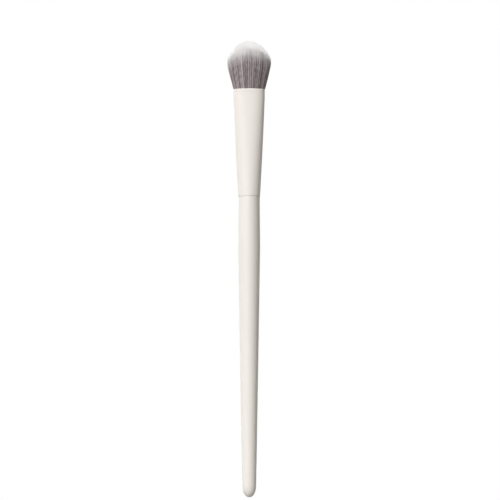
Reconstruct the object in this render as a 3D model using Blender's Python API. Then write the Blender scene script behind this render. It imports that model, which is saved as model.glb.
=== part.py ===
"""Concealer brush: a turned and lacquered wooden handle, a pressed aluminium ferrule and
a domed head of fine bristle, with the resin, thread and glue that hold it together.

The brush stands upright, hair upwards, with the broad side of its head facing -Y.
The origin is on its axis at the handle's swell, where the fingers hold it.
All sizes are in metres.
"""

import math

import bmesh
import bpy
import numpy as np

# Fit between neighbouring pieces
FIT_GAP = 0.0003

# How finely the round shapes are divided
SIDES = 40
SWELL_RINGS = 5
TAPER_RINGS = 17
DOME_RINGS = 10
FERRULE_RINGS = 11
LIP_RINGS = 6
EDGE_RINGS = 2
SHARP_FROM = math.radians(35)
SAME_POINT = 1e-7

# Handle, measured down from the shoulder that faces the ferrule
HANDLE_LENGTH = 0.1120
SWELL_BELOW_SHOULDER = 0.0191
SWELL_DIAMETER = 0.00810
END_DIAMETER = 0.00520
END_DOME_LENGTH = 0.0044
SHOULDER_STEP = 0.00015
SHOULDER_ROUND = 0.00015
TAPER_BEND = 1.06
DOME_FULLNESS = 2.4
DOME_POINT = 0.75

# Tenon, the end of the handle inside the ferrule
TENON_LENGTH = 0.014
TENON_CHAMFER = 0.0004
GLUE_GROOVES = 3
GLUE_GROOVE_WIDTH = 0.0016
GLUE_GROOVE_DEPTH = 0.0008

# Ferrule, round at the seam and pressed to a flat oval at the mouth
FERRULE_LENGTH = 0.04035
SEAM_DIAMETER = 0.00806
MOUTH_WIDTH = 0.01158
MOUTH_DEPTH = 0.0074
MOUTH_FLAT = 0.0036
MOUTH_BAND = 0.0030
FERRULE_BOW = 0.0002
FERRULE_WALL = 0.0004
FERRULE_EDGE_ROUND = 0.00012
PRESSING_BEND = 1.5

# Head, measured up from the ferrule's mouth
HEAD_LENGTH = 0.0179
HEAD_WIDTH = 0.0163
HEAD_DEPTH = 0.0109
BELLY_HEIGHT = 0.0104
FLARE_BEND = 1.35
HEAD_FULLNESS = 2.3
DOME_CENTRE = 0.0100
FRONT_DROP = 0.0026
DRAW_START = 0.0080
WIDTH_DRAW = 0.07
DEPTH_DRAW = 0.40
DRAW_BEND = 1.7

# Strands, each standing for a lock of the finer hair
STRAND_PITCH = 0.00040
STRAND_ROOT_RADIUS = 0.00012
STRAND_BODY_RADIUS = 0.00023
STRAND_TAPER = 0.0030
STRAND_STRAY = 0.00003
TIP_STRAY = 0.0004
BENT_STRANDS_FROM = 0.75
STRAND_BENDS = (0.42, 0.8)
GRID_TURN = math.radians(13)
STRAND_SEED = 7

# Slice of resin that the strands are fused to
SLICE_DEPTH = 0.0025
SLICE_THICKNESS = 0.0012

# Resin plug under the slice, and the thread tied round its waist
PLUG_LAND = 0.0022
THREAD_DIAMETER = 0.0004
THREAD_PITCH = 0.0009
THREAD_TURNS = 4
THREAD_POINTS = 24

# Heights that follow from the sizes above
SEAM_Z = SWELL_BELOW_SHOULDER
MOUTH_Z = SEAM_Z + FERRULE_LENGTH
WAIST_LENGTH = THREAD_TURNS * THREAD_PITCH + THREAD_DIAMETER + 2 * FIT_GAP
PLUG_TOP = FERRULE_LENGTH - SLICE_DEPTH - SLICE_THICKNESS - FIT_GAP
PLUG_BOTTOM = PLUG_TOP - 2 * PLUG_LAND - WAIST_LENGTH

LACQUER = (0.84, 0.80, 0.76)
HAIR = (0.23, 0.18, 0.20)
RESIN = (0.62, 0.52, 0.36)
THREAD = (0.80, 0.77, 0.70)
GLUE = (0.75, 0.68, 0.50)


def material(name, colour, roughness, metallic=0.0):
    made = bpy.data.materials.new(name)
    made.use_nodes = True
    shader = made.node_tree.nodes["Principled BSDF"]
    shader.inputs["Base Color"].default_value = (*colour, 1.0)
    shader.inputs["Roughness"].default_value = roughness
    shader.inputs["Metallic"].default_value = metallic
    made.diffuse_color = (*colour, 1.0)
    return made


def place(name, data, finish, height, turn=0.0):
    """Puts a mesh or curve on the brush's axis, at a height above the grip."""
    piece = bpy.data.objects.new(name, data)
    data.materials.append(finish)
    bpy.context.scene.collection.objects.link(piece)
    piece.parent = bpy.data.objects["concealer_brush"]
    piece.location.z = height
    piece.rotation_euler.z = turn
    return piece


def finish_mesh(name, bm):
    bmesh.ops.recalc_face_normals(bm, faces=bm.faces)
    mesh = bpy.data.meshes.new(name)
    bm.to_mesh(mesh)
    bm.free()
    mesh.shade_smooth()
    mesh.set_sharp_from_angle(angle=SHARP_FROM)
    return mesh


def turned(name, profile, closed=False):
    """A solid turned on Z from (radius, height) points: from axis to axis, or a closed ring."""
    bm = bmesh.new()
    verts = [bm.verts.new((radius, 0, height)) for radius, height in profile]
    edges = [bm.edges.new(pair) for pair in zip(verts, verts[1:])]
    if closed:
        edges.append(bm.edges.new((verts[-1], verts[0])))
    bmesh.ops.spin(
        bm,
        geom=verts + edges,
        cent=(0, 0, 0),
        axis=(0, 0, 1),
        angle=2 * math.pi,
        steps=SIDES,
        use_merge=True,
    )
    bmesh.ops.remove_doubles(bm, verts=bm.verts, dist=SAME_POINT)
    return finish_mesh(name, bm)


def lofted(name, outlines, closed=False):
    """A solid through (outline, height) rings: capped at both ends, or wrapped into a tube."""
    bm = bmesh.new()
    rings = [[bm.verts.new((x, y, height)) for x, y in outline] for outline, height in outlines]
    pairs = list(zip(rings, rings[1:]))
    if closed:
        pairs.append((rings[-1], rings[0]))
    for low, high in pairs:
        for i in range(len(low)):
            j = (i + 1) % len(low)
            bm.faces.new((low[i], low[j], high[j], high[i]))
    if not closed:
        bm.faces.new(rings[0])
        bm.faces.new(rings[-1])
    return finish_mesh(name, bm)


def mix(low, high, share):
    return low + (high - low) * share


def quarter_round(radius):
    """Inset and rise along a rounded edge, from its end face to its side."""
    angles = [math.pi / 2 * i / EDGE_RINGS for i in range(EDGE_RINGS + 1)]
    return [(radius * (1 - math.sin(a)), radius * (1 - math.cos(a))) for a in angles]


def ferrule_halves(height):
    """Half width, half depth and half flat of the ferrule's outside, above the seam."""
    run = FERRULE_LENGTH - MOUTH_BAND
    share = min(max(height / run, 0.0), 1.0)
    pressed = share**PRESSING_BEND
    half_width = mix(SEAM_DIAMETER, MOUTH_WIDTH, share) / 2 + 2 * FERRULE_BOW * share * (1 - share)
    half_depth = mix(SEAM_DIAMETER, MOUTH_DEPTH, pressed) / 2
    return half_width, half_depth, MOUTH_FLAT / 2 * pressed


def ferrule_point(height, inset, angle):
    """A point of the flat oval: two half ellipses on the ends of a flat."""
    half_width, half_depth, flat = ferrule_halves(height)
    side = math.copysign(1, math.cos(angle))
    x = side * flat + (half_width - inset - flat) * math.cos(angle)
    return x, (half_depth - inset) * math.sin(angle)


def ferrule_outline(height, inset, points=SIDES):
    """The oval's corners, half a step round, so that one face lies square to each broad side."""
    return [ferrule_point(height, inset, math.tau * (i + 0.5) / points) for i in range(points)]


def tenon_radius(height):
    """The tenon clears the narrow way of the ferrule's bore."""
    half_depth = ferrule_halves(height)[1]
    return half_depth - FERRULE_WALL - FIT_GAP


def glue_groove_heights():
    return [TENON_LENGTH * (i + 1) / (GLUE_GROOVES + 1) for i in range(GLUE_GROOVES)]


def handle_radius(below):
    """The handle's radius at a distance below its shoulder, down to the end of its dome."""
    shoulder = SEAM_DIAMETER / 2 - SHOULDER_STEP
    swell = SWELL_DIAMETER / 2
    end = END_DIAMETER / 2
    if below <= SWELL_BELOW_SHOULDER:
        return mix(shoulder, swell, (1 - math.cos(math.pi * below / SWELL_BELOW_SHOULDER)) / 2)
    taper = HANDLE_LENGTH - END_DOME_LENGTH - SWELL_BELOW_SHOULDER
    along = (below - SWELL_BELOW_SHOULDER) / taper
    if along <= 1:
        return mix(swell, end, along**TAPER_BEND)
    dome = min((along - 1) * taper / END_DOME_LENGTH, 1.0)
    return end * (1 - dome**DOME_FULLNESS) ** DOME_POINT


def handle_profile():
    top = TENON_LENGTH
    profile = [(0, top), (tenon_radius(top) - TENON_CHAMFER, top)]
    profile.append((tenon_radius(top - TENON_CHAMFER), top - TENON_CHAMFER))
    for middle in reversed(glue_groove_heights()):
        upper = middle + GLUE_GROOVE_WIDTH / 2
        lower = middle - GLUE_GROOVE_WIDTH / 2
        floor = tenon_radius(middle) - GLUE_GROOVE_DEPTH
        profile += [(tenon_radius(upper), upper), (floor, upper)]
        profile += [(floor, lower), (tenon_radius(lower), lower)]
    shoulder = -FIT_GAP / 2
    profile.append((tenon_radius(0), shoulder))
    for inset, rise in quarter_round(SHOULDER_ROUND):
        profile.append((handle_radius(SHOULDER_ROUND) - inset, shoulder - rise))
    dome_start = HANDLE_LENGTH - END_DOME_LENGTH
    downs = list(np.linspace(0, SWELL_BELOW_SHOULDER, SWELL_RINGS + 1)[1:])
    downs += list(np.linspace(SWELL_BELOW_SHOULDER, dome_start, TAPER_RINGS + 1)[1:])
    turns = [math.pi / 2 * i / DOME_RINGS for i in range(1, DOME_RINGS)]
    downs += [dome_start + END_DOME_LENGTH * math.sin(turn) for turn in turns]
    profile += [(handle_radius(down), -down) for down in downs]
    return profile + [(0, -HANDLE_LENGTH)]


def make_handle(finish):
    place("handle", turned("handle", handle_profile()), finish, SEAM_Z, math.pi / SIDES)


def make_adhesive_rings(finish):
    """Glue that set in the tenon's grooves, level with the tenon's surface."""
    for number, middle in enumerate(glue_groove_heights(), start=1):
        inner = tenon_radius(middle) - GLUE_GROOVE_DEPTH + FIT_GAP
        outer = tenon_radius(middle)
        half = GLUE_GROOVE_WIDTH / 2 - FIT_GAP
        section = [(outer, half), (outer, -half), (inner, -half), (inner, half)]
        name = f"adhesive_ring_{number}"
        place(name, turned(name, section, closed=True), finish, SEAM_Z + middle, math.pi / SIDES)


def make_ferrule(finish):
    """A thin tube with a rounded lip, and a small round on its edge at the seam."""
    bottom = FIT_GAP / 2
    band_start = FERRULE_LENGTH - MOUTH_BAND
    heights = list(np.linspace(bottom, band_start, FERRULE_RINGS + 1)[1:])
    rings = [(inset, bottom + rise) for inset, rise in quarter_round(FERRULE_EDGE_ROUND)]
    rings += [(0, height) for height in heights]
    lip_radius = FERRULE_WALL / 2
    for i in range(LIP_RINGS + 1):
        turn = math.pi * i / LIP_RINGS
        inset = lip_radius * (1 - math.cos(turn))
        rings.append((inset, FERRULE_LENGTH - lip_radius * (1 - math.sin(turn))))
    rings += [(FERRULE_WALL, height) for height in reversed(heights)]
    rings.append((FERRULE_WALL, bottom))
    outlines = [(ferrule_outline(height, inset), height) for inset, height in rings]
    place("ferrule", lofted("ferrule", outlines, closed=True), finish, SEAM_Z)


def make_resin_plug(finish):
    land = FERRULE_WALL + FIT_GAP
    waist = land + THREAD_DIAMETER + FIT_GAP
    waist_low = PLUG_BOTTOM + PLUG_LAND
    waist_high = PLUG_TOP - PLUG_LAND
    rings = [(land, PLUG_BOTTOM), (land, waist_low), (waist, waist_low)]
    rings += [(waist, waist_high), (land, waist_high), (land, PLUG_TOP)]
    outlines = [(ferrule_outline(height, inset), height) for inset, height in rings]
    place("resin_plug", lofted("resin_plug", outlines), finish, SEAM_Z)


def make_root_thread(finish):
    """One unbroken thread wound round the plug's waist, with its least gap to itself printed."""
    inset = FERRULE_WALL + FIT_GAP + THREAD_DIAMETER / 2
    start = PLUG_BOTTOM + PLUG_LAND + FIT_GAP + THREAD_DIAMETER / 2
    path = []
    for i in range(THREAD_TURNS * THREAD_POINTS + 1):
        turns = i / THREAD_POINTS
        height = start + turns * THREAD_PITCH
        angle = math.tau * (turns + 0.5 / THREAD_POINTS)
        path.append((*ferrule_point(height, inset, angle), height))
    curve = bpy.data.curves.new("root_thread", "CURVE")
    curve.dimensions = "3D"
    curve.bevel_depth = THREAD_DIAMETER / 2
    curve.bevel_resolution = 1
    curve.use_fill_caps = True
    spline = curve.splines.new("POLY")
    spline.points.add(len(path) - 1)
    for point, at in zip(spline.points, path):
        point.co = (*at, 1)
    place("root_thread", curve, finish, SEAM_Z)

    points = np.array(path)
    apart = np.linalg.norm(points[:, None] - points[None], axis=2)
    order = np.arange(len(path))
    other_turn = np.abs(order[:, None] - order[None]) > THREAD_POINTS // 2
    least = apart[other_turn].min() - THREAD_DIAMETER
    print(f"root_thread: least gap to itself {least * 1000:.2f} mm")


def rim_share(x, y):
    """How far out in the head a place lies: 0 on the axis and 1 at the rim."""
    return (abs(x) ** HEAD_FULLNESS + abs(y) ** HEAD_FULLNESS) ** (1 / HEAD_FULLNESS)


def strand_roots():
    """Root places on a slightly strayed triangular grid, as shares of the bundle's halves."""
    random = np.random.default_rng(STRAND_SEED)
    room = FERRULE_WALL + FIT_GAP + STRAND_ROOT_RADIUS + STRAND_STRAY
    half_width = MOUTH_WIDTH / 2 - room
    half_depth = MOUTH_DEPTH / 2 - room
    reach = int(MOUTH_WIDTH / STRAND_PITCH)
    roots = []
    for row in range(-reach, reach + 1):
        for column in range(-reach, reach + 1):
            along = (column + row % 2 / 2) * STRAND_PITCH
            across = row * STRAND_PITCH * math.sqrt(3) / 2
            x = along * math.cos(GRID_TURN) - across * math.sin(GRID_TURN)
            y = along * math.sin(GRID_TURN) + across * math.cos(GRID_TURN)
            if rim_share(x / half_width, y / half_depth) <= 1:
                stray_x, stray_y = random.uniform(-STRAND_STRAY, STRAND_STRAY, 2)
                roots.append(((x + stray_x) / half_width, (y + stray_y) / half_depth))
    return roots, half_width, half_depth


def strand_stations(rim, tip):
    """Heights and radii along a strand. The outer ones bend more, so they have two more."""
    body = tip - STRAND_TAPER
    stations = [(-SLICE_DEPTH - SLICE_THICKNESS / 2, STRAND_ROOT_RADIUS)]
    stations.append((FIT_GAP, STRAND_ROOT_RADIUS))
    if rim > BENT_STRANDS_FROM:
        for share in STRAND_BENDS:
            stations.append((body * share, mix(STRAND_ROOT_RADIUS, STRAND_BODY_RADIUS, share)))
    return stations + [(body, STRAND_BODY_RADIUS)]


def head_halves(height, tip, root_width, root_depth):
    """Half width and half depth of the head at a height on a strand that ends at tip."""
    flare = 1 - (1 - min(max(height / BELLY_HEIGHT, 0), 1)) ** FLARE_BEND
    drawn = min(max((height - DRAW_START) / (tip - DRAW_START), 0), 1)
    half_width = mix(root_width, HEAD_WIDTH / 2 - STRAND_BODY_RADIUS, flare)
    half_depth = mix(root_depth, HEAD_DEPTH / 2 - STRAND_BODY_RADIUS, flare)
    drawn **= DRAW_BEND
    return half_width * (1 - WIDTH_DRAW * drawn), half_depth * (1 - DEPTH_DRAW * drawn)


def add_strand(bm, rings, tip):
    """A closed three-sided strand through its rings to its point."""
    loops = [[bm.verts.new(corner) for corner in ring] for ring in rings]
    point = bm.verts.new(tip)
    bm.faces.new(loops[0])
    for low, high in zip(loops, loops[1:]):
        for i in range(3):
            j = (i + 1) % 3
            bm.faces.new((low[i], low[j], high[j], high[i]))
    for i in range(3):
        bm.faces.new((loops[-1][i], loops[-1][(i + 1) % 3], point))


def make_strands():
    """All strands as one mesh: each rises out of the slice, flares and ends on the dome."""
    random = np.random.default_rng(STRAND_SEED)
    roots, root_width, root_depth = strand_roots()
    bm = bmesh.new()
    for x, y in roots:
        rim = min(rim_share(x, y), 1.0)
        dome = (HEAD_LENGTH - DOME_CENTRE) * math.sqrt(1 - ((1 - WIDTH_DRAW) * x) ** 2)
        tip = DOME_CENTRE + dome - FRONT_DROP * y**2 - TIP_STRAY * rim * random.random()
        turn = random.uniform(0, math.tau)
        rings = []
        for height, radius in strand_stations(rim, tip):
            half_width, half_depth = head_halves(height, tip, root_width, root_depth)
            corners = [turn + math.tau * i / 3 for i in range(3)]
            around = [(radius * math.cos(corner), radius * math.sin(corner)) for corner in corners]
            rings.append([(x * half_width + dx, y * half_depth + dy, height) for dx, dy in around])
        half_width, half_depth = head_halves(tip, tip, root_width, root_depth)
        add_strand(bm, rings, (x * half_width, y * half_depth, tip))
    print(f"bristle_tuft: {len(roots)} strands")
    return finish_mesh("strands", bm)


def make_bristle_tuft(finish):
    """The slice of resin with the strands fused into its top face."""
    low = FERRULE_LENGTH - SLICE_DEPTH - SLICE_THICKNESS
    inset = FERRULE_WALL + FIT_GAP
    heights = (low, low + SLICE_THICKNESS)
    outlines = [(ferrule_outline(height, inset), height - FERRULE_LENGTH) for height in heights]
    tuft = place("bristle_tuft", lofted("bristle_tuft", outlines), finish, MOUTH_Z)
    strands = place("strands", make_strands(), finish, MOUTH_Z)
    strands.hide_render = True
    strands.display_type = "WIRE"
    fuse = tuft.modifiers.new("fuse strands", "BOOLEAN")
    fuse.operation = "UNION"
    fuse.solver = "EXACT"
    fuse.object = strands


def make_brush():
    for old in list(bpy.data.objects):
        bpy.data.objects.remove(old)
    grip = bpy.data.objects.new("concealer_brush", None)
    grip.empty_display_size = SWELL_DIAMETER
    bpy.context.scene.collection.objects.link(grip)
    make_handle(material("white_lacquer_on_wood", LACQUER, 0.35))
    make_adhesive_rings(material("cured_glue", GLUE, 0.3))
    make_ferrule(material("white_lacquer_on_aluminium", LACQUER, 0.32))
    make_resin_plug(material("cured_resin", RESIN, 0.2))
    make_root_thread(material("tie_thread", THREAD, 0.85))
    make_bristle_tuft(material("synthetic_hair", HAIR, 0.55))


make_brush()
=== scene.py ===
"""Looks of the concealer brush: lacquered handle and ferrule, and a head of fine two-tone
hair, in plain soft light on white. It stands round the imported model, in metres, with the
brush upright, its hair upwards and its broad side towards the camera at -Y."""

import math

import bpy
import numpy as np
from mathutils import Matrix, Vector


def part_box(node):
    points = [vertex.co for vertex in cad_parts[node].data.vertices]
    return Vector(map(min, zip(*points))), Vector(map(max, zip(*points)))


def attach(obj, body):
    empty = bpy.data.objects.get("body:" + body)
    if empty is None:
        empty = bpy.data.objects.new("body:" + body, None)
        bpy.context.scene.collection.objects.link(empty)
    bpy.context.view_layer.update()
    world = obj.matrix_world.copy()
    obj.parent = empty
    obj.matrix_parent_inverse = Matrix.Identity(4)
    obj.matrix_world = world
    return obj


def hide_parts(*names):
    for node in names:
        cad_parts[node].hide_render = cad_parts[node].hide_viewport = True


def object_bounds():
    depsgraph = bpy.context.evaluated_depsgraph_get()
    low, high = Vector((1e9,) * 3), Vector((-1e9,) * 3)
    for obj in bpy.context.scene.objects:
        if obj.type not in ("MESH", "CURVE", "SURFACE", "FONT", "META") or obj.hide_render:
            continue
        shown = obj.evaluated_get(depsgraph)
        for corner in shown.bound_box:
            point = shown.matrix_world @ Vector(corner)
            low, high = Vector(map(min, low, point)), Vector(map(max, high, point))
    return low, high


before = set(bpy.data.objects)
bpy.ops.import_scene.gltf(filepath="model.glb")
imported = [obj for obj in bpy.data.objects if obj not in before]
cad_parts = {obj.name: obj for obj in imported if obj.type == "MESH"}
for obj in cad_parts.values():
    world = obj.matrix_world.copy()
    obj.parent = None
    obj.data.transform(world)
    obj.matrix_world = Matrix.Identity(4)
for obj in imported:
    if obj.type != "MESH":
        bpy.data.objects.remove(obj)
cad_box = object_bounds()

# Millimetres in a metre, and what keeps a length that is divided by from being nothing
MILLIMETRES = 1000
TINY = 1e-9

# Heights along the brush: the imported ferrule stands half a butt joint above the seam
BUTT_GAP = 0.0003
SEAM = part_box("ferrule")[0].z - BUTT_GAP / 2
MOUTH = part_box("ferrule")[1].z

# Handle, measured down from the seam
HANDLE_LENGTH = 0.11175
SWELL_BELOW_SEAM = 0.0191
SHOULDER_DIAMETER = 0.00784
SWELL_DIAMETER = 0.00810
END_DIAMETER = 0.00520
END_DOME_LENGTH = 0.0053
TAPER_BEND = 1.06
DOME_FULLNESS = 2.7
DOME_POINT = 0.5

# Tenon with its glue grooves, measured up from the seam
TENON_LENGTH = 0.014
TENON_CHAMFER = 0.0004
GLUE_GROOVES = 3
GROOVE_WIDTH = 0.0016
GROOVE_DEPTH = 0.0008
GLUE_LINE = 0.0003

# Ferrule, round at the seam and pressed to a full oval at the mouth
FERRULE_LENGTH = 0.04027
SEAM_DIAMETER = 0.00806
MOUTH_WIDTH = 0.01162
MOUTH_DEPTH = 0.0074
MOUTH_FULLNESS = 2.6
MOUTH_BAND = 0.0030
FERRULE_BOW = 0.0002
FERRULE_WALL = 0.0004
PRESSING_BEND = 1.8

# Seam, which opens a little more to the right
SEAM_OPENING = 0.000012
TUBE_ROUND = 0.00003
SHOULDER_ROUND = 0.00006
ASKEW_CUT = 0.00012
ASKEW_REACH = 0.003

# Rolled lip
LIP_BAND = 0.00115
LIP_SHOULDER = 0.0003
LIP_PROUD = 0.00003

# Top of the resin, below the lip, with its rings from the rim inwards
BED_DEPTH = 0.0025
BED_THICKNESS = 0.0012
BED_SAG = 0.0002
BED_RINGS = (0.9, 0.7, 0.4)
NEAR_MIDDLE = 0.02

# How finely handle, ferrule and resin are divided
SIDES = 128
ROUND_STEPS = 6
LIP_STEPS = 12
TUBE_RINGS = 40
BAND_RINGS = 5
LIP_SHOULDER_RINGS = 7
LIP_RINGS = 4
SWELL_RINGS = 13
TAPER_RINGS = 41
DOME_RINGS = 24

# Edges of the unwraps
MARGIN = 0.01
CAP_STEP = 0.004

# Head, measured up from the mouth
HEAD_LENGTH = 0.01831
BELLY_HEIGHT = 0.0097
BELLY_HALF_WIDTH = 0.00830
BELLY_HALF_DEPTH = 0.0054
MOUTH_HALF_WIDTH = 0.00593
MOUTH_HALF_DEPTH = 0.00372
ROOT_HALF_WIDTH = 0.00545
ROOT_HALF_DEPTH = 0.00329
FLARE_BEND = 1.05
DOME_CENTRE = 0.0096
DOME_ROUND = 1.76
DRAW_START = 0.0080
WIDTH_DRAW = 0.05
WIDTH_DRAW_BEND = 2
DEPTH_DRAW = 0.40
DEPTH_DRAW_BEND = 1.7
FRONT_DROP = 0.0026
HEAD_MOUTH_FULLNESS = 2.35
HEAD_BELLY_FULLNESS = 2.15

# Hair: how many, how thick and where each one bends
HAIR_SEED = 42
HAIRS = 6000
WISPS = 1600
LOCKS = 80
CORE_SHARE = 0.62
HAIR_RADIUS = 0.000050
HAIR_SIDES = 3
TIP_TAPER = 0.0030
TIP_THICKNESS = 0.15
TIP_BEND = 0.8
ROOT_DEPTH = 0.0027
LIP_DEPTH = 0.0003
STATIONS = (0.02, 0.17, 0.34, 0.51, 0.68, 0.82, 0.93, 1)

# How the hairs gather and stray. Pairs are at the mouth and at the tips.
HAIR_STRAY = 0.35
MIDDLE_STRAY = 0.4
WISP_PULL = (0.35, 0.55)
LOCK_PULL = (0.05, 0.08)
LENGTH_STRAY = 0.00016
SHORT_HAIRS = 0.05
SHORT_BY = 0.002
TIP_STRAY = 0.00011
SWAY = 0.00010
SWAY_LENGTH = 0.0085

# Tones: how much of a hair's tone is its wisp's, its lock's and its own
TONES = 24
WISP_TONE = 0.55
LOCK_TONE = 0.15
OWN_TONE = 0.3
TONE_LOW = 0.15
TONE_RANGE = 0.7
LIGHT_HAIRS = 0.03
LAST_TONE = 0.99  # only the light hairs' tone is above it

# Shading of the head as one body
NORMAL_SHARE = 0.75
FLARE_SLOPE = 0.42
CROWN_LIFT = 1.3
TIP_LIFT = 1.0
TIP_LIFT_LENGTH = 0.002

# Unwrap of the hairs: a strip for each tone, and how far across it the corners are
HAIR_MARGIN = 0.02
SPARE_LENGTH = 0.001
ROOT_COLUMNS = (0.35, 0.5, 0.65)
SIDE_COLUMNS = (0.3, 0.7, 0.7, 0.3)
POINT_COLUMNS = (0.3, 0.7, 0.5)

# Colours of the hair
DARK_HAIR = (0.13, 0.098, 0.114)
PALE_HAIR = (0.565, 0.487, 0.516)
LIGHT_HAIR = (0.74, 0.70, 0.72)
WHITE_HAIR = (0.89, 0.882, 0.888)

# White of the tips: where it fades, in millimetres, and how that varies between tones
WHITE_FADES = (0.8, 7.6)
WHITE_STAGGER = 1.8
STAGGER_STEP = 7.3

# Contrast of the tones at the tip, what each millimetre towards the root adds, and the streaks
# along them. The added contrast is partly tone and partly painted shade of the gaps between wisps
# near the mouth.
TIP_CONTRAST = 0.6
GAP_SHADE_CONTRAST_GROWTH = 0.16
STREAK_CONTRAST = 2.4
STREAKS_APART = 31
STREAKS_PER_MM = 0.6

# Light of the white surround, and the floor
AMBIENT = 0.02
AMBIENT_TINT = (1.0, 0.96, 0.86)
FLOOR_REACH = 12.0
FLOOR_BELOW = 0.06
FLOOR_BOUNCE = (0.165, 0.157, 0.125)
FLOOR_SEEN = (0.86, 0.86, 0.86)
FLOOR_GLOW = 0.5

# Lamps: azimuth and elevation, strength, width and colour. Angles are in degrees.
LAMPS = {
    "key": (-28.5, 27, 2.6, 40, (1, 1, 1)),
    "top": (0, 60, 0.68, 30, (1, 0.97, 0.88)),
    "side_fill": (-130, 40, 1.3, 60, (1, 1, 1)),
    "back_fill": (156, 60, 1.47, 30, (1, 1, 1)),
}

# Camera, slightly below the brush and looking up at it
LENS = 232
SENSOR_WIDTH = 36
CAMERA_RISE = -4.8
CAMERA_DISTANCE = 1.2
CAMERA_ASIDE = 0.00029
CAMERA_LOWERED = 0.0008


class Link:
    """A socket of a material. Python's operators add the Math nodes, so that shader maths
    reads as an expression."""

    def __init__(self, nodes, socket):
        self.nodes, self.socket = nodes, socket

    def __add__(self, other):
        return self.nodes.maths("ADD", self, other)

    def __sub__(self, other):
        return self.nodes.maths("SUBTRACT", self, other)

    def __rsub__(self, other):
        return self.nodes.maths("SUBTRACT", other, self)

    def __mul__(self, other):
        return self.nodes.maths("MULTIPLY", self, other)

    def __gt__(self, other):
        return self.nodes.maths("GREATER_THAN", self, other)

    __radd__ = __add__
    __rmul__ = __mul__


class Nodes:
    """The nodes of a material or of the surround."""

    def __init__(self, tree):
        self.tree = tree

    def node(self, kind, settings=None, values=None, output=0):
        """Adds one node: its settings first, then what its sockets hold or are linked to."""
        made = self.tree.nodes.new(kind)
        for setting, value in (settings or {}).items():
            setattr(made, setting, value)
        for socket, value in (values or {}).items():
            self.feed(made.inputs[socket], value)
        return Link(self, made.outputs[output])

    def feed(self, socket, value):
        if isinstance(value, Link):
            self.tree.links.new(value.socket, socket)
        elif socket.type == "RGBA":
            socket.default_value = (*value, 1)
        else:
            socket.default_value = value

    def maths(self, operation, *values):
        return self.node("ShaderNodeMath", {"operation": operation}, dict(enumerate(values)))

    def mix(self, share, first, second):
        """The first colour where share is 0 and the second where it is 1. The node's sockets
        go by number, because their names repeat."""
        values = {0: share, 6: first, 7: second}
        return self.node("ShaderNodeMix", {"data_type": "RGBA"}, values, output=2)

    def seen(self):
        """1 for what the camera sees, straight or through gloss and glass."""
        names = ("Is Camera Ray", "Is Glossy Ray", "Is Transmission Ray")
        camera, gloss, glass = (self.node("ShaderNodeLightPath", output=name) for name in names)
        return self.maths("MAXIMUM", self.maths("MAXIMUM", camera, gloss), glass)


class Finish(Nodes):
    """A material, with its constants on the shader's own sockets."""

    def __init__(self, name, **constants):
        self.material = bpy.data.materials.new(name)
        self.material.use_nodes = True
        super().__init__(self.material.node_tree)
        self.shader = self.tree.nodes["Principled BSDF"]
        self.wear(**constants)

    def wear(self, **values):
        """Sets or feeds the shader's sockets."""
        for socket, value in values.items():
            self.feed(self.shader.inputs[socket.replace("_", " ")], value)

    def step(self, value, low, high):
        """0 below low, 1 above high and smooth between them."""
        values = {"Value": value, "From Min": low, "From Max": high}
        return self.node("ShaderNodeMapRange", {"interpolation_type": "SMOOTHSTEP"}, values)

    def noise(self, size, stretch=(1, 1, 1), detail=2.0):
        """Noise from 0 to 1 in patches about size millimetres across, stretched along the
        piece's axes."""
        where = self.node("ShaderNodeTexCoord", output="Object")
        scale = tuple(MILLIMETRES / s for s in stretch)
        where = self.node("ShaderNodeVectorMath", {"operation": "MULTIPLY"}, {0: where, 1: scale})
        values = {"Vector": where, "Scale": 1 / size, "Detail": detail}
        return self.node("ShaderNodeTexNoise", values=values)

    def measure(self, name):
        """What the hairs carry under this name."""
        return self.node("ShaderNodeAttribute", {"attribute_name": name}, output="Fac")

    def bump(self, height, distance):
        return self.node("ShaderNodeBump", values={"Height": height, "Distance": distance})


def mix(low, high, share):
    return low + (high - low) * share


def unit(directions):
    return directions / (np.linalg.norm(directions, axis=-1, keepdims=True) + TINY)


def piece(name, mesh, finish, node):
    """Names a mesh, dresses it and sets it on the brush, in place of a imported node."""
    made = bpy.data.objects.new(name, mesh)
    mesh.materials.append(finish.material)
    bpy.context.scene.collection.objects.link(made)
    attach(made, "root")
    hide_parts(node)


def quarter_round(radius):
    """Inset and rise along a rounded edge, from its end face to its side."""
    turns = [math.pi / 2 * i / ROUND_STEPS for i in range(ROUND_STEPS + 1)]
    return [(radius * (1 - math.sin(turn)), radius * (1 - math.cos(turn))) for turn in turns]


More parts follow.
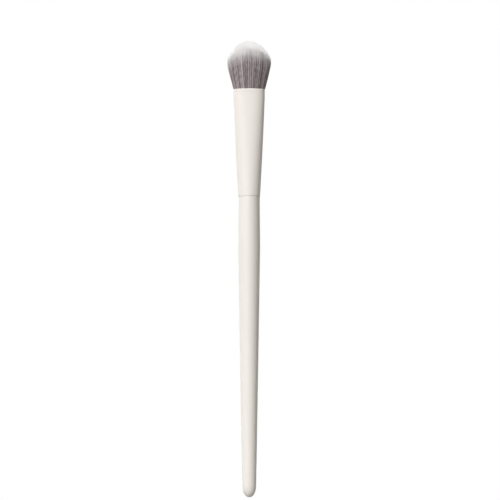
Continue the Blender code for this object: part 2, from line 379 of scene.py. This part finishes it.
def skin(name, rings, wrapped=False):
    """A smooth closed surface through rings of points: closed to a point at both ends, or
    wrapped from the last ring to the first. Its unwrap has the way round across it and the
    way along it upwards, with the end caps beyond."""
    rings = np.array(rings)
    if wrapped:
        rings = np.concatenate([rings, rings[:1]])
    count, sides = rings.shape[:2]
    steps = np.linalg.norm(np.diff(rings, axis=0), axis=2).mean(axis=1)
    along = np.concatenate([[0], np.cumsum(steps)])
    along = mix(MARGIN, 1 - MARGIN, along / along[-1])
    across = mix(MARGIN, 1 - MARGIN, np.arange(sides + 1) / sides)
    verts = rings[:-1].reshape(-1, 3) if wrapped else rings.reshape(-1, 3)
    faces, unwrap = [], []
    for low in range(count - 1):
        high = (low + 1) % (count - 1) if wrapped else low + 1
        bottom, top = along[low], along[low + 1]
        for side in range(sides):
            after = (side + 1) % sides
            ring = [(low, side), (low, after), (high, after), (high, side)]
            faces.append([row * sides + column for row, column in ring])
            left, right = across[side], across[side + 1]
            unwrap += [(left, bottom), (right, bottom), (right, top), (left, top)]
    if not wrapped:
        for row, turn in ((0, -1), (count - 1, 1)):
            verts = np.concatenate([verts, rings[row].mean(axis=0)[None]])
            rim, middle = along[row] + turn * CAP_STEP, along[row] + turn * 2 * CAP_STEP
            for side in range(sides):
                pair = [row * sides + side, row * sides + (side + 1) % sides][::turn]
                faces.append([*pair, len(verts) - 1])
                ends = across[side:side + 2][::turn]
                unwrap += [(ends[0], rim), (ends[1], rim), (ends.mean(), middle)]
    mesh = bpy.data.meshes.new(name)
    mesh.from_pydata(verts.tolist(), [], faces)
    mesh.uv_layers.new(name="OFBake").data.foreach_set("uv", np.array(unwrap).ravel())
    mesh.shade_smooth()
    mesh.update()
    return mesh


def oval(places, half_width, half_depth, fullness):
    """Stretches places of the disc of radius 1 over a full oval."""
    radius = np.linalg.norm(places, axis=-1) + TINY
    across, deep = np.abs(places[..., 0]) / radius, np.abs(places[..., 1]) / radius
    grown = (across**fullness + deep**fullness) ** (-1 / fullness)
    return places[..., 0] * grown * half_width, places[..., 1] * grown * half_depth


def ferrule_halves(height):
    """Half width, half depth and fullness of the ferrule's outside, above the seam."""
    share = min(max(height / (FERRULE_LENGTH - MOUTH_BAND), 0), 1)
    pressed = share**PRESSING_BEND
    half_width = mix(SEAM_DIAMETER, MOUTH_WIDTH, share) / 2 + 2 * FERRULE_BOW * share * (1 - share)
    half_depth = mix(SEAM_DIAMETER, MOUTH_DEPTH, pressed) / 2
    return half_width, half_depth, mix(2, MOUTH_FULLNESS, pressed)


def ferrule_ring(height, inset):
    """The pressed oval at a height, fuller than an ellipse."""
    half_width, half_depth, fullness = ferrule_halves(height)
    turn = math.tau * (np.arange(SIDES) + 0.5) / SIDES
    disc = np.stack([np.cos(turn), np.sin(turn)], axis=1)
    x, y = oval(disc, half_width - inset, half_depth - inset, fullness)
    return np.stack([x, y, np.full(SIDES, SEAM + height)], axis=1)


def lip_proud(height):
    """How far the rolled band below the lip stands out, at a height above the seam."""
    up = min(max((height - FERRULE_LENGTH + LIP_BAND) / LIP_SHOULDER, 0), 1)
    return LIP_PROUD * (3 - 2 * up) * up**2


def cut_askew(ring, height):
    """Lifts the tube's end towards the right, where it is cut slightly askew."""
    share = max(0, 1 - height / ASKEW_REACH) * (0.5 + ring[:, 0] / SEAM_DIAMETER) ** 2
    ring[:, 2] += ASKEW_CUT * share
    return ring


def make_ferrule(finish):
    """The thin pressed tube, with a rolled lip and a small round at the seam."""
    band_low, lip_low = FERRULE_LENGTH - LIP_BAND, FERRULE_LENGTH - FERRULE_WALL / 2
    stops = (SEAM_OPENING + TUBE_ROUND, FERRULE_LENGTH - MOUTH_BAND, band_low,
             band_low + LIP_SHOULDER, lip_low)
    counts = (TUBE_RINGS, BAND_RINGS, LIP_SHOULDER_RINGS, LIP_RINGS)
    heights = []
    for low, high, count in zip(stops, stops[1:], counts):
        heights += list(np.linspace(low, high, count)[1:])
    heights.pop()  # the lip's own round begins there

    section = [(inset, SEAM_OPENING + rise) for inset, rise in quarter_round(TUBE_ROUND)]
    section += [(-lip_proud(height), height) for height in heights]
    for i in range(LIP_STEPS + 1):
        turn = math.pi * i / LIP_STEPS
        inset = FERRULE_WALL / 2 * (1 - math.cos(turn)) - LIP_PROUD * (1 + math.cos(turn)) / 2
        section.append((inset, lip_low + FERRULE_WALL / 2 * math.sin(turn)))
    section += [(FERRULE_WALL, height) for height in reversed(heights)]
    section.append((FERRULE_WALL, SEAM_OPENING))
    rings = [cut_askew(ferrule_ring(height, inset), height) for inset, height in section]
    mesh = skin("ferrule_shell", rings, wrapped=True)
    piece("ferrule_shell", mesh, finish, "ferrule")


def make_root_bed(finish):
    """The resin between the hair roots, with a top that sinks a little to its middle."""
    top = FERRULE_LENGTH - BED_DEPTH
    foot = top - BED_THICKNESS
    section = [(NEAR_MIDDLE, foot, 0), (1, foot, 0), (1, top, 0)]
    section += [(share, top, BED_SAG * (1 - share)) for share in (*BED_RINGS, NEAR_MIDDLE)]
    rings = []
    for share, height, sunk in section:
        ring = ferrule_ring(height, FERRULE_WALL + GLUE_LINE)
        ring[:, :2] *= share
        ring[:, 2] -= sunk
        rings.append(ring)
    piece("root_bed", skin("root_bed", rings), finish, "bristle_tuft")


def handle_radius(below):
    """The handle's radius at a distance below the seam, down to the end of its dome."""
    shoulder, swell, end = SHOULDER_DIAMETER / 2, SWELL_DIAMETER / 2, END_DIAMETER / 2
    if below <= SWELL_BELOW_SEAM:
        return mix(shoulder, swell, (1 - math.cos(math.pi * below / SWELL_BELOW_SEAM)) / 2)
    taper = HANDLE_LENGTH - END_DOME_LENGTH - SWELL_BELOW_SEAM
    along = (below - SWELL_BELOW_SEAM) / taper
    if along <= 1:
        return mix(swell, end, along**TAPER_BEND)
    dome = min((along - 1) * taper / END_DOME_LENGTH, 1)
    return end * (1 - dome**DOME_FULLNESS) ** DOME_POINT


def tenon_radius(height):
    return ferrule_halves(height)[1] - FERRULE_WALL - GLUE_LINE


def make_handle(finish):
    """The turned handle, from the foot of its tenon to the dome at its end."""
    shoulder = TENON_LENGTH - TENON_CHAMFER
    profile = [(tenon_radius(TENON_LENGTH) - TENON_CHAMFER, TENON_LENGTH)]
    profile.append((tenon_radius(shoulder), shoulder))
    for number in range(GLUE_GROOVES, 0, -1):
        middle = TENON_LENGTH * number / (GLUE_GROOVES + 1)
        upper, lower = middle + GROOVE_WIDTH / 2, middle - GROOVE_WIDTH / 2
        floor = tenon_radius(middle) - GROOVE_DEPTH
        profile += [(tenon_radius(upper), upper), (floor, upper)]
        profile += [(floor, lower), (tenon_radius(lower), lower)]
    profile.append((tenon_radius(0), -SEAM_OPENING))
    for inset, rise in quarter_round(SHOULDER_ROUND):
        profile.append((handle_radius(0) - inset, -SEAM_OPENING - rise))
    dome_start = HANDLE_LENGTH - END_DOME_LENGTH
    downs = list(np.linspace(SEAM_OPENING + SHOULDER_ROUND, SWELL_BELOW_SEAM, SWELL_RINGS)[1:])
    downs += list(np.linspace(SWELL_BELOW_SEAM, dome_start, TAPER_RINGS)[1:])
    turns = [math.pi / 2 * i / DOME_RINGS for i in range(1, DOME_RINGS)]
    downs += [dome_start + END_DOME_LENGTH * math.sin(turn) for turn in turns]
    profile += [(handle_radius(down), -down) for down in downs]
    turns = [math.tau * side / SIDES for side in range(SIDES)]
    rings = []
    for radius, height in reversed(profile):
        rings.append([(radius * math.cos(t), radius * math.sin(t), SEAM + height) for t in turns])
    mesh = skin("handle_turned", rings)
    piece("handle_turned", mesh, finish, "handle")


def sunflower(count, random, stray):
    """Places spread evenly over a disc of radius 1, each strayed a little."""
    order = np.arange(count) + 0.5
    radius = np.sqrt(order / count)
    turn = order * math.pi * (3 - math.sqrt(5))
    places = np.stack([radius * np.cos(turn), radius * np.sin(turn)], axis=1)
    places += random.normal(0, stray / math.sqrt(count), places.shape)
    out = np.linalg.norm(places, axis=1, keepdims=True)
    return places / np.maximum(out, 1)


def pulled(places, middles):
    """The way from each place to the nearest middle of a wisp or lock, and which it is."""
    apart = np.linalg.norm(places[:, None] - middles[None], axis=2)
    nearest = apart.argmin(axis=1)
    return middles[nearest] - places, nearest


def hair_lengths(places, random):
    """How far each hair reaches above the mouth: to the dome, and a few fall short."""
    across, deep = places[:, 0], places[:, 1]
    dome = (1 - ((1 - WIDTH_DRAW) * np.abs(across)) ** DOME_ROUND) ** (1 / DOME_ROUND)
    length = mix(DOME_CENTRE, HEAD_LENGTH, dome) - FRONT_DROP * deep**2
    length += random.normal(0, LENGTH_STRAY, HAIRS)
    length -= (random.random(HAIRS) < SHORT_HAIRS) * random.uniform(0, SHORT_BY, HAIRS)
    return length[:, None]


def head_halves(height, length):
    """Half width, half depth and fullness of the head, at heights on hairs of a length."""
    flare = 1 - (1 - np.clip(height / BELLY_HEIGHT, 0, 1)) ** FLARE_BEND
    drawn = np.clip((height - DRAW_START) / (length - DRAW_START), 0, 1)
    half_width = mix(MOUTH_HALF_WIDTH, BELLY_HALF_WIDTH, flare)
    half_width *= 1 - WIDTH_DRAW * drawn**WIDTH_DRAW_BEND
    half_depth = mix(MOUTH_HALF_DEPTH, BELLY_HALF_DEPTH, flare)
    half_depth *= 1 - DEPTH_DRAW * drawn**DEPTH_DRAW_BEND
    half_width = np.where(height < 0, ROOT_HALF_WIDTH, half_width)
    half_depth = np.where(height < 0, ROOT_HALF_DEPTH, half_depth)
    return half_width, half_depth, mix(HEAD_MOUTH_FULLNESS, HEAD_BELLY_FULLNESS, flare)


def hair_tones(wisp, lock, random):
    """A tone for each hair, like those of its wisp and lock. The last one is for the few
    light hairs."""
    tone = WISP_TONE * random.random(WISPS)[wisp] + LOCK_TONE * random.random(LOCKS)[lock]
    tone = tone + OWN_TONE * random.random(HAIRS)
    tone = np.clip((tone - TONE_LOW) / TONE_RANGE, 0, 1)
    tone = np.round(tone * (TONES - 2)).astype(int)
    tone[random.random(HAIRS) < LIGHT_HAIRS] = TONES - 1
    return tone


def grow_hair():
    """Centre lines, radii, distances to the tip and tones of all the hairs, and how far out
    in the head each one stands."""
    random = np.random.default_rng(HAIR_SEED)
    places = sunflower(HAIRS, random, HAIR_STRAY)
    to_lock, lock = pulled(places, sunflower(LOCKS, random, MIDDLE_STRAY))
    to_wisp, wisp = pulled(places, sunflower(WISPS, random, MIDDLE_STRAY))
    sway = random.uniform(0, math.tau, (WISPS, 2))[wisp]
    length = hair_lengths(places, random)

    under = np.repeat([[-ROOT_DEPTH, -LIP_DEPTH]], HAIRS, axis=0)
    share = np.repeat([STATIONS], HAIRS, axis=0)
    height = np.concatenate([under, length * share], axis=1)
    share = np.concatenate([np.zeros_like(under), share], axis=1)
    gathered = places[:, None] + to_wisp[:, None] * mix(*WISP_PULL, share)[..., None]
    gathered = gathered + to_lock[:, None] * mix(*LOCK_PULL, share)[..., None]
    x, y = oval(gathered, *head_halves(height, length))
    stray = random.normal(0, TIP_STRAY, (HAIRS, 2))
    wave = SWAY * share * np.sin(sway[:, :1] + math.tau * height / SWAY_LENGTH)
    x = x + stray[:, :1] * share**2 + wave * np.cos(sway[:, 1:])
    y = y + stray[:, 1:] * share**2 + wave * np.sin(sway[:, 1:])

    to_tip = length - height
    thickness = mix(TIP_THICKNESS, 1, (to_tip / TIP_TAPER) ** TIP_BEND)
    radius = HAIR_RADIUS * np.minimum(1, thickness)
    tone = hair_tones(wisp, lock, random)
    out = np.linalg.norm(places, axis=1)
    return np.stack([x, y, MOUTH + height], axis=2), radius, to_tip, tone, out


def bundle_normals(points, around, to_tip):
    """Normals that turn from each hair's own side towards the outside of the whole head,
    because packed hairs shade as one body, and upwards at the tips."""
    x = points[..., 0] / BELLY_HALF_WIDTH
    y = points[..., 1] * BELLY_HALF_WIDTH / BELLY_HALF_DEPTH**2
    above = (points[..., 2] - MOUTH - BELLY_HEIGHT) / (HEAD_LENGTH - BELLY_HEIGHT)
    below = (MOUTH + BELLY_HEIGHT - points[..., 2]) / BELLY_HEIGHT
    up = np.where(above > 0, CROWN_LIFT * above, -FLARE_SLOPE * below * np.hypot(x, y))
    up = up + TIP_LIFT * np.clip(1 - to_tip / TIP_LIFT_LENGTH, 0, 1)
    whole = unit(np.stack([x, y, up], axis=-1))
    return unit(mix(around, whole, NORMAL_SHARE))


def hair_faces(stations):
    """The faces of one hair, root first and point last, and the station of each corner."""
    faces, corners_at = [[2, 1, 0]], [0, 0, 0]
    for low in range(stations - 1):
        first, second = HAIR_SIDES * low, HAIR_SIDES * (low + 1)
        for side in range(HAIR_SIDES):
            after = (side + 1) % HAIR_SIDES
            if low < stations - 2:
                faces.append([first + side, first + after, second + after, second + side])
                corners_at += [low, low, low + 1, low + 1]
            else:
                faces.append([first + side, first + after, second])
                corners_at += [low, low, low + 1]
    return faces, corners_at


def hair_unwrap(to_tip, tone, corners_at):
    """Each tone has its own strip of the unwrap, with the tips at its top."""
    side_faces = HAIR_SIDES * (to_tip.shape[1] - 2)
    columns = np.array(ROOT_COLUMNS + SIDE_COLUMNS * side_faces + POINT_COLUMNS * HAIR_SIDES)
    longest = HEAD_LENGTH + ROOT_DEPTH + SPARE_LENGTH
    v = mix(HAIR_MARGIN, 1 - HAIR_MARGIN, 1 - to_tip / longest)[:, corners_at]
    v[:, :2] -= CAP_STEP
    u = (tone[:, None] + columns[None]) / TONES
    return np.stack([u, v], axis=2)


def make_hair(name, centres, radius, to_tip, tone, finish):
    """One mesh of three-sided hairs, each from a closed root to a point."""
    random = np.random.default_rng(HAIR_SEED)
    hairs, stations = radius.shape
    turn = math.tau * np.arange(HAIR_SIDES)[None] / HAIR_SIDES
    turn = random.uniform(0, math.tau, hairs)[:, None] + turn
    around = np.stack([np.cos(turn), np.sin(turn), np.zeros_like(turn)], axis=2)
    rings = centres[:, :-1, None] + radius[:, :-1, None, None] * around[:, None]
    verts = np.concatenate([rings.reshape(hairs, -1, 3), centres[:, -1:]], axis=1)
    each = verts.shape[1]
    sides = np.repeat(around[:, None], stations - 1, axis=1).reshape(hairs, -1, 3)
    sides = np.concatenate([sides, np.repeat([[[0, 0, 1]]], hairs, axis=0)], axis=1)
    per_vertex = np.repeat(to_tip[:, :-1], HAIR_SIDES, axis=1)
    per_vertex = np.concatenate([per_vertex, to_tip[:, -1:]], axis=1)
    normals = bundle_normals(verts, sides, per_vertex)

    faces, corners_at = hair_faces(stations)
    sizes = np.tile([len(face) for face in faces], hairs)
    corners = np.concatenate([np.array(face) for face in faces])
    corners = (corners[None] + each * np.arange(hairs)[:, None]).ravel()
    mesh = bpy.data.meshes.new(name)
    mesh.vertices.add(hairs * each)
    mesh.vertices.foreach_set("co", verts.ravel())
    mesh.loops.add(len(corners))
    mesh.loops.foreach_set("vertex_index", corners)
    mesh.polygons.add(len(sizes))
    mesh.polygons.foreach_set("loop_start", np.concatenate([[0], np.cumsum(sizes)[:-1]]))
    mesh.update(calc_edges=True)
    mesh.shade_smooth()
    mesh.normals_split_custom_set_from_vertices(normals.reshape(-1, 3))

    unwrap = hair_unwrap(to_tip, tone, corners_at)
    mesh.uv_layers.new(name="OFBake").data.foreach_set("uv", unwrap.ravel().astype(np.float32))
    share = np.repeat(tone / (TONES - 1), each)
    for measure, values in (("to_tip", (per_vertex * MILLIMETRES).ravel()), ("tone", share)):
        attribute = mesh.attributes.new(measure, "FLOAT", "POINT")
        attribute.data.foreach_set("value", values.astype(np.float32))
    piece(name, mesh, finish, "bristle_tuft")


def make_head(finish):
    """All the hair, in an inner and an outer piece."""
    centres, radius, to_tip, tone, out = grow_hair()
    core = out < CORE_SHARE
    for name, kept in (("hair_core", core), ("hair_outer", ~core)):
        make_hair(name, centres[kept], radius[kept], to_tip[kept], tone[kept], finish)


def lacquer(name, grain):
    """Warm white satin lacquer, faintly uneven. grain is how strongly the wood shows."""
    pale, deep = (0.875, 0.845, 0.815), (0.845, 0.812, 0.778)
    finish = Finish(name, IOR=1.45)
    drift = finish.noise(9, (1, 1, 2))
    streaks = finish.noise(0.5, (1, 1, 40), 3.0)
    peel = finish.noise(0.55, detail=1.0)
    finish.wear(
        Base_Color=finish.mix(drift * 0.5 + streaks * grain, pale, deep),
        Roughness=0.44 + 0.12 * finish.noise(3),
        Normal=finish.bump(peel + streaks * grain, 0.000012),
    )
    return finish


def hair_finish():
    """Mauve-grey hair that turns white towards its tip, darker and paler from tone to tone and
    along each hair. Towards the root the tones spread wider, and their darker end is painted shade
    of the gaps between wisps."""
    finish = Finish("two_tone_hair", Roughness=0.5, IOR=1.45, Sheen_Weight=0.4)
    to_tip, tone = finish.measure("to_tip"), finish.measure("tone")
    stagger = WHITE_STAGGER * finish.maths("FRACT", tone * STAGGER_STEP)
    white = 1 - finish.step(to_tip + stagger, *WHITE_FADES)
    where = {0: tone * STREAKS_APART, 1: to_tip * STREAKS_PER_MM}
    where = finish.node("ShaderNodeCombineXYZ", values=where)
    values = {"Vector": where, "Scale": 1.0, "Detail": 1.0}
    streak = finish.node("ShaderNodeTexNoise", values=values)
    # The tones spread wider towards the root: partly tone, partly painted shade of the gaps
    # between wisps near the mouth.
    spread = TIP_CONTRAST + GAP_SHADE_CONTRAST_GROWTH * to_tip
    shade = 0.5 + (tone - 0.5) * spread + (streak - 0.5) * STREAK_CONTRAST
    grey = finish.mix(shade, DARK_HAIR, PALE_HAIR)
    body = finish.mix(tone > LAST_TONE, grey, LIGHT_HAIR)
    finish.wear(Base_Color=finish.mix(white, body, WHITE_HAIR))
    return finish


def resin_finish():
    clear, cloudy = (0.66, 0.57, 0.41), (0.56, 0.45, 0.29)
    finish = Finish("cured_resin", IOR=1.52)
    cloud = finish.noise(1.4, detail=4.0)
    finish.wear(
        Base_Color=finish.mix(cloud, clear, cloudy),
        Roughness=0.2 + 0.15 * cloud,
        Normal=finish.bump(finish.noise(0.3), 0.00001),
    )
    return finish


def thread_finish():
    pale, deep = (0.82, 0.79, 0.72), (0.66, 0.62, 0.54)
    finish = Finish("tie_thread", Roughness=0.8)
    plies = finish.noise(0.08, (1, 1, 0.4), 3.0)
    finish.wear(Base_Color=finish.mix(plies, pale, deep), Normal=finish.bump(plies, 0.00002))
    return finish


def glue_finish():
    clear, cloudy = (0.78, 0.71, 0.53), (0.70, 0.61, 0.42)
    finish = Finish("cured_glue")
    cloud = finish.noise(0.9, detail=3.0)
    finish.wear(Base_Color=finish.mix(cloud, clear, cloudy), Roughness=0.24 + 0.16 * cloud)
    return finish


def dress(node, finish):
    """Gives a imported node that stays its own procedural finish."""
    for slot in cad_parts[node].material_slots:
        slot.material = finish.material


def make_floor():
    """A pale floor under the held brush, white to the camera apart from the shadow."""
    mesh = bpy.data.meshes.new("floor")
    level = cad_box[0].z - FLOOR_BELOW
    corners = [(x * FLOOR_REACH, y * FLOOR_REACH, level)
               for x, y in ((-1, -1), (1, -1), (1, 1), (-1, 1))]
    mesh.from_pydata(corners, [], [(0, 1, 2, 3)])
    floor = bpy.data.objects.new("floor", mesh)
    bpy.context.scene.collection.objects.link(floor)
    finish = Finish("white_floor", Roughness=0.9)
    seen = finish.seen()
    finish.wear(Base_Color=finish.mix(seen, FLOOR_BOUNCE, FLOOR_SEEN))
    glow = finish.node("ShaderNodeEmission", values={"Strength": seen * FLOOR_GLOW})
    surface = Link(finish, finish.shader.outputs[0])
    both = finish.node("ShaderNodeAddShader", values={0: surface, 1: glow})
    finish.feed(finish.tree.nodes["Material Output"].inputs[0], both)
    mesh.materials.append(finish.material)


def make_world():
    """A white surround that lights the brush less than it shows."""
    world = bpy.data.worlds.new("white_surround")
    bpy.context.scene.world = world
    world.use_nodes = True
    sky = Nodes(world.node_tree)
    dim = tuple(AMBIENT * tint for tint in AMBIENT_TINT)
    colour = sky.mix(sky.seen(), dim, (1.0, 1.0, 1.0))
    sky.feed(world.node_tree.nodes["Background"].inputs["Color"], colour)


def make_lamp(name, azimuth, elevation, strength, width, colour):
    """A wide soft lamp from a direction: azimuth 0 is the camera's side, 90 its right."""
    data = bpy.data.lights.new(name, "SUN")
    data.energy, data.angle, data.color = strength, math.radians(width), colour
    lamp = bpy.data.objects.new(name, data)
    lamp.rotation_euler = (math.radians(90 - elevation), 0, math.radians(azimuth))
    bpy.context.scene.collection.objects.link(lamp)


def make_camera():
    """The photograph's view, from slightly below and far away."""
    data = bpy.data.cameras.new("camera")
    data.lens, data.sensor_width = LENS, SENSOR_WIDTH
    data.clip_start, data.clip_end = 0.05, 50
    camera = bpy.data.objects.new("camera", data)
    rise = math.radians(CAMERA_RISE)
    back, up = CAMERA_DISTANCE * math.cos(rise), CAMERA_DISTANCE * math.sin(rise)
    camera.location = (CAMERA_ASIDE, -back, up - CAMERA_LOWERED)
    camera.rotation_euler = (math.radians(90) - rise, 0, 0)
    bpy.context.scene.collection.objects.link(camera)
    bpy.context.scene.camera = camera


def build():
    make_camera()
    bpy.context.scene.view_settings.view_transform = "Standard"
    make_handle(lacquer("lacquer_on_wood", grain=0.5))
    make_ferrule(lacquer("lacquer_on_aluminium", grain=0.0))
    make_head(hair_finish())
    resin = resin_finish()
    make_root_bed(resin)
    dress("resin_plug", resin)
    dress("root_thread", thread_finish())
    for number in range(1, GLUE_GROOVES + 1):
        dress(f"adhesive_ring_{number}", glue_finish())
    make_floor()
    make_world()
    for name, settings in LAMPS.items():
        make_lamp(name, *settings)


build()
